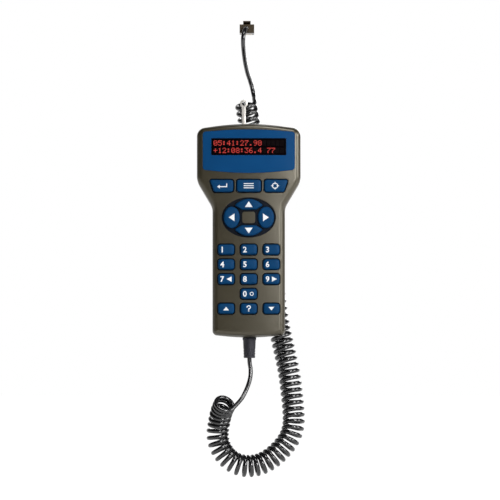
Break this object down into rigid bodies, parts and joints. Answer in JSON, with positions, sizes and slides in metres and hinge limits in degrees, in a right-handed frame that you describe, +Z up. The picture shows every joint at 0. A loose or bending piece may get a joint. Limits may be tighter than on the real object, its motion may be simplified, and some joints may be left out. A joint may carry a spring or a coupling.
{
  "type": "hand controller",
  "caption": "Handheld keypad controller with a flared display head, blue keys, a hanging eye and a long curly cord that ends in a modular plug.",
  "frame": {"origin": "centre of the hanger's eye, halfway through the case's thickness", "axes": "+Z up along the case towards the eye, the keys face -Y, +X to the right of someone facing the keys"},
  "size_m": [0.0868, 0.0555, 0.3676],
  "materials": {
    "case": "fine moulded grain, dark olive grey",
    "panel": "satin printed film",
    "window": "clear smoked plastic",
    "screen": "polished",
    "backlight": "diffusing",
    "sheet": "satin",
    "board": "solder mask",
    "link": "film",
    "mat": "matte",
    "gold": "plated",
    "chip": "moulded",
    "can": "sleeved",
    "plug": "smoked clear",
    "screw": "plated",
    "bright_steel": "bright",
    "boot": "matte moulded",
    "cord": "glossy jacket",
    "key": "satin moulded"
  },
  "bodies": {
    "handset": {"front_cover": "case", "rear_cover": "case", "display_panel": "panel", "display_window": "window", "display_frame": "sheet", "display_glass": "screen", "backlight": "backlight", "display_board": "board", "display_link": "link", "main_board": "board", "keypad_mat": "mat", "contact_pads": "gold", "processor_chip": "chip", "memory_chip": "chip", "crystal": "sheet", "capacitors": "can", "regulator": "chip", "beeper": "chip", "cord_jack": "chip", "jack_contacts": "gold", "handset_plug": "plug", "handset_plug_contacts": "gold", "case_screws": "screw", "board_screws": "screw", "hanger": "bright_steel", "cord_boot": "boot", "cord_lead": "cord", "cord_curl": "cord", "cord_tail": "cord", "cord_plug": "plug", "cord_plug_contacts": "gold"},
    "key_return": {"key_return": "key"},
    "key_menu": {"key_menu": "key"},
    "key_go": {"key_go": "key"},
    "key_arrow_up": {"key_arrow_up": "key"},
    "key_arrow_down": {"key_arrow_down": "key"},
    "key_arrow_left": {"key_arrow_left": "key"},
    "key_arrow_right": {"key_arrow_right": "key"},
    "key_0": {"key_0": "key"},
    "key_1": {"key_1": "key"},
    "key_2": {"key_2": "key"},
    "key_3": {"key_3": "key"},
    "key_4": {"key_4": "key"},
    "key_5": {"key_5": "key"},
    "key_6": {"key_6": "key"},
    "key_7": {"key_7": "key"},
    "key_8": {"key_8": "key"},
    "key_9": {"key_9": "key"},
    "key_scroll_up": {"key_scroll_up": "key"},
    "key_help": {"key_help": "key"},
    "key_scroll_down": {"key_scroll_down": "key"}
  },
  "joints": [
    {"name": "key_return_press", "type": "slide", "parent": "handset", "child": "key_return", "axis": [0, 1, 0], "range_m": [0, 0.0012], "stiffness_N_per_m": 800},
    {"name": "key_menu_press", "type": "slide", "parent": "handset", "child": "key_menu", "axis": [0, 1, 0], "range_m": [0, 0.0012], "stiffness_N_per_m": 800},
    {"name": "key_go_press", "type": "slide", "parent": "handset", "child": "key_go", "axis": [0, 1, 0], "range_m": [0, 0.0012], "stiffness_N_per_m": 800},
    {"name": "key_arrow_up_press", "type": "slide", "parent": "handset", "child": "key_arrow_up", "axis": [0, 1, 0], "range_m": [0, 0.0012], "stiffness_N_per_m": 800},
    {"name": "key_arrow_down_press", "type": "slide", "parent": "handset", "child": "key_arrow_down", "axis": [0, 1, 0], "range_m": [0, 0.0012], "stiffness_N_per_m": 800},
    {"name": "key_arrow_left_press", "type": "slide", "parent": "handset", "child": "key_arrow_left", "axis": [0, 1, 0], "range_m": [0, 0.0012], "stiffness_N_per_m": 800},
    {"name": "key_arrow_right_press", "type": "slide", "parent": "handset", "child": "key_arrow_right", "axis": [0, 1, 0], "range_m": [0, 0.0012], "stiffness_N_per_m": 800},
    {"name": "key_0_press", "type": "slide", "parent": "handset", "child": "key_0", "axis": [0, 1, 0], "range_m": [0, 0.0012], "stiffness_N_per_m": 800},
    {"name": "key_1_press", "type": "slide", "parent": "handset", "child": "key_1", "axis": [0, 1, 0], "range_m": [0, 0.0012], "stiffness_N_per_m": 800},
    {"name": "key_2_press", "type": "slide", "parent": "handset", "child": "key_2", "axis": [0, 1, 0], "range_m": [0, 0.0012], "stiffness_N_per_m": 800},
    {"name": "key_3_press", "type": "slide", "parent": "handset", "child": "key_3", "axis": [0, 1, 0], "range_m": [0, 0.0012], "stiffness_N_per_m": 800},
    {"name": "key_4_press", "type": "slide", "parent": "handset", "child": "key_4", "axis": [0, 1, 0], "range_m": [0, 0.0012], "stiffness_N_per_m": 800},
    {"name": "key_5_press", "type": "slide", "parent": "handset", "child": "key_5", "axis": [0, 1, 0], "range_m": [0, 0.0012], "stiffness_N_per_m": 800},
    {"name": "key_6_press", "type": "slide", "parent": "handset", "child": "key_6", "axis": [0, 1, 0], "range_m": [0, 0.0012], "stiffness_N_per_m": 800},
    {"name": "key_7_press", "type": "slide", "parent": "handset", "child": "key_7", "axis": [0, 1, 0], "range_m": [0, 0.0012], "stiffness_N_per_m": 800},
    {"name": "key_8_press", "type": "slide", "parent": "handset", "child": "key_8", "axis": [0, 1, 0], "range_m": [0, 0.0012], "stiffness_N_per_m": 800},
    {"name": "key_9_press", "type": "slide", "parent": "handset", "child": "key_9", "axis": [0, 1, 0], "range_m": [0, 0.0012], "stiffness_N_per_m": 800},
    {"name": "key_scroll_up_press", "type": "slide", "parent": "handset", "child": "key_scroll_up", "axis": [0, 1, 0], "range_m": [0, 0.0012], "stiffness_N_per_m": 800},
    {"name": "key_help_press", "type": "slide", "parent": "handset", "child": "key_help", "axis": [0, 1, 0], "range_m": [0, 0.0012], "stiffness_N_per_m": 800},
    {"name": "key_scroll_down_press", "type": "slide", "parent": "handset", "child": "key_scroll_down", "axis": [0, 1, 0], "range_m": [0, 0.0012], "stiffness_N_per_m": 800}
  ]
}
